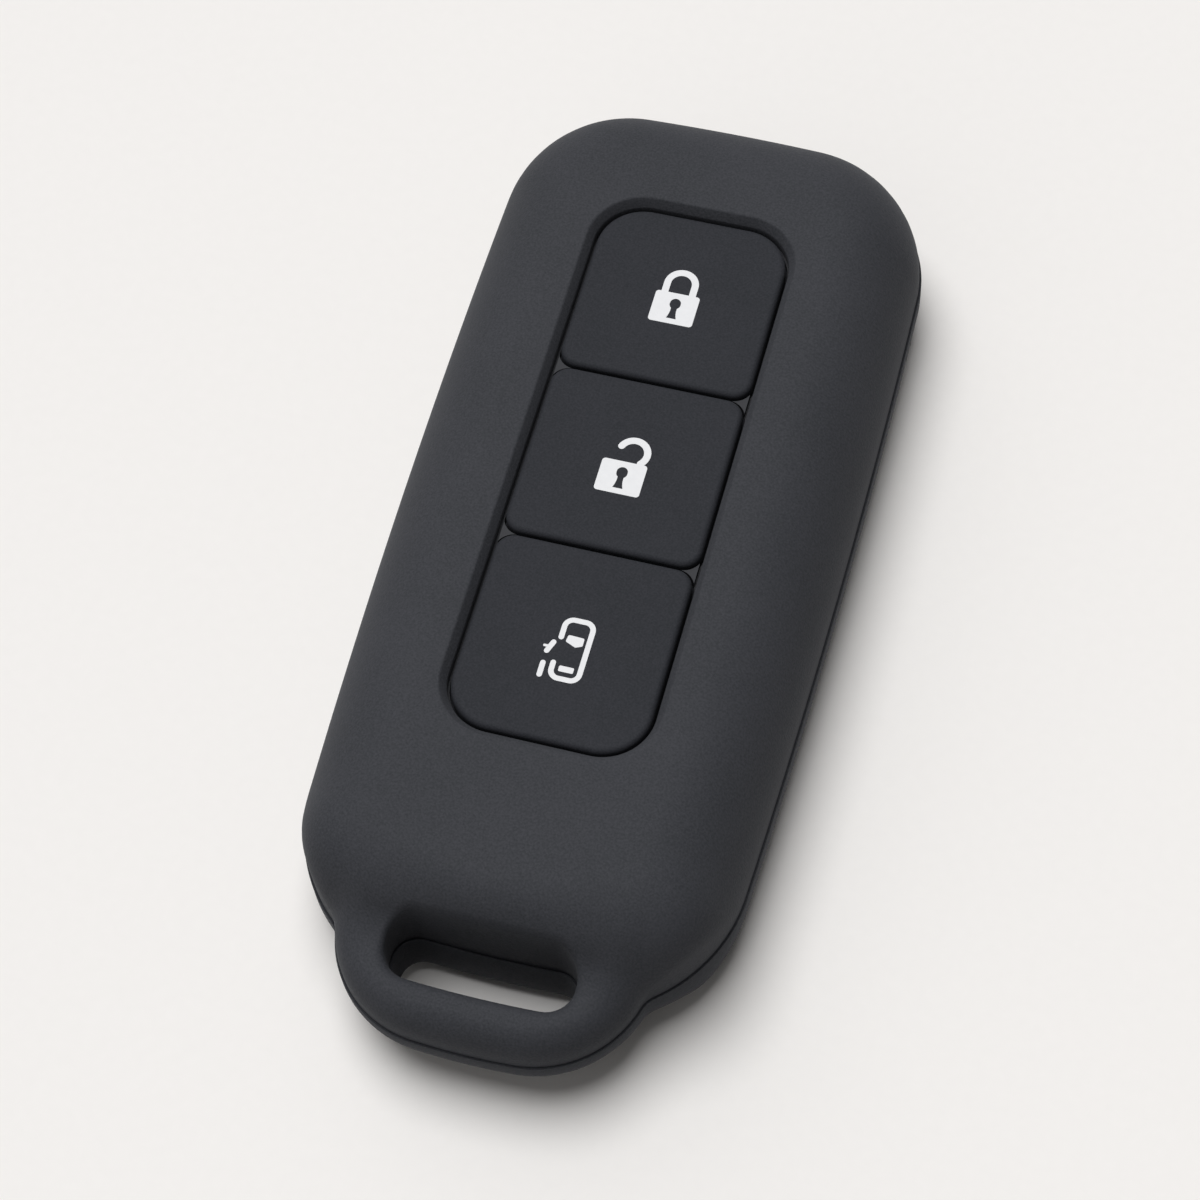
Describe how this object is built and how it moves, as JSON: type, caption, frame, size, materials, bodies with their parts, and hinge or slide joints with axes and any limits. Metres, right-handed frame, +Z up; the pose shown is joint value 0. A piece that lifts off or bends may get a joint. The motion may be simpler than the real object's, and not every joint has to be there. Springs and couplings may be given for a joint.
{
  "type": "key fob cover",
  "caption": "Barrel-sided two-shell cover for a car key fob, with square push keys in a bevelled window, a sloping lower end and a strap loop.",
  "frame": {"origin": "under the middle of the cover, on the surface that it lies on", "axes": "+X across the width, +Y along the length away from the strap loop, +Z up out of the key faces"},
  "size_m": [0.0406, 0.0939, 0.0168],
  "materials": {
    "soft_touch_shell": "soft-touch matt coat",
    "key_plastic": "fine matt",
    "symbol_white": "matt white",
    "mat_rubber": "matt",
    "frame_plastic": "moulded",
    "dome_rubber": "matt silicone"
  },
  "bodies": {
    "rear": {"rear_shell": "soft_touch_shell"},
    "front": {"front_shell": "soft_touch_shell", "keypad_mat": "mat_rubber", "keypad_frame": "frame_plastic", "lock_dome": "dome_rubber", "unlock_dome": "dome_rubber", "door_dome": "dome_rubber"},
    "lock": {"lock_key": "key_plastic", "lock_symbol": "symbol_white", "lock_post": "frame_plastic"},
    "unlock": {"unlock_key": "key_plastic", "unlock_symbol": "symbol_white", "unlock_post": "frame_plastic"},
    "door": {"door_key": "key_plastic", "door_symbol": "symbol_white", "door_post": "frame_plastic"}
  },
  "joints": [
    {"name": "cover_lift", "type": "slide", "parent": "rear", "child": "front", "axis": [0, 0, 1], "range_m": [0, 0.03]},
    {"name": "lock_press", "type": "slide", "parent": "front", "child": "lock", "axis": [0, 0, -1], "range_m": [0, 0.0008], "stiffness_N_per_m": 1500, "deforming": ["lock_dome"]},
    {"name": "unlock_press", "type": "slide", "parent": "front", "child": "unlock", "axis": [0, 0, -1], "range_m": [0, 0.0008], "stiffness_N_per_m": 1500, "deforming": ["unlock_dome"]},
    {"name": "door_press", "type": "slide", "parent": "front", "child": "door", "axis": [0, 0, -1], "range_m": [0, 0.0008], "stiffness_N_per_m": 1500, "deforming": ["door_dome"]}
  ]
}
